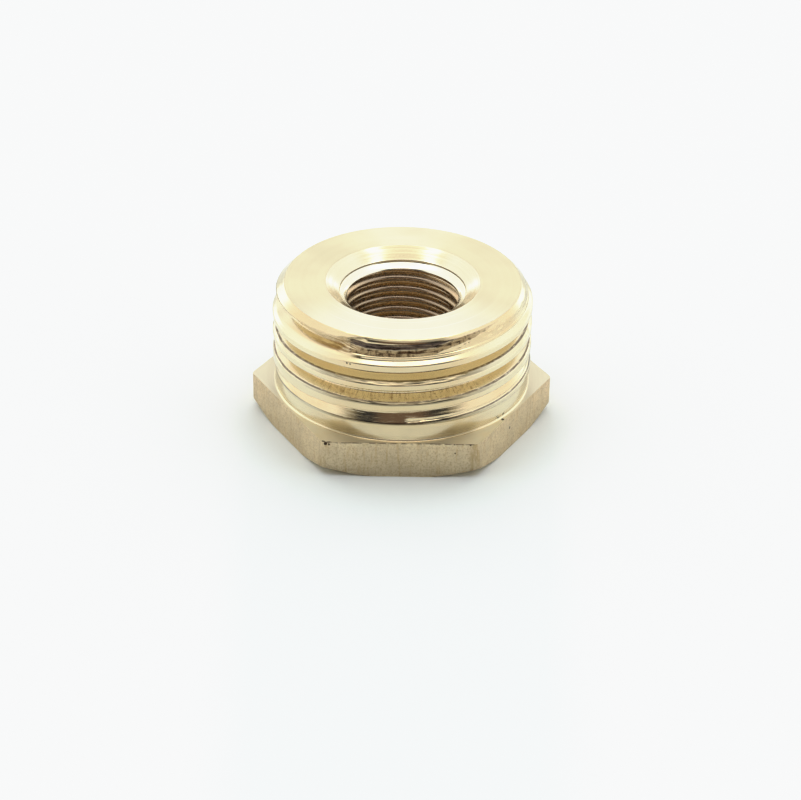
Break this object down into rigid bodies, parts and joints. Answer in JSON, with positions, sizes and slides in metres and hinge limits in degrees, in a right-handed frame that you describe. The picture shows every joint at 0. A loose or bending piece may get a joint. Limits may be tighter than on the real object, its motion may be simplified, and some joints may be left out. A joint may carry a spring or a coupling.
{
  "type": "hexagon reducing bush",
  "caption": "Brass reducing bush: thin hexagon flange, G 1/2 male thread outside, 1/8 female pipe thread through the centre, countersunk mouth.",
  "frame": {"origin": "centre of the hexagon's flat end face, on the common axis of both threads", "axes": "+Z along the thread axis, from the hexagon towards the male nose; +X through a corner of the hexagon, so flats face -Y and +Y"},
  "size_m": [0.024, 0.021, 0.0117],
  "materials": {
    "turned_brass": "turned, bright on the faces and threads, matt on the hexagon flats"
  },
  "bodies": {
    "root": {"reducing_bush": "turned_brass"}
  },
  "joints": []
}
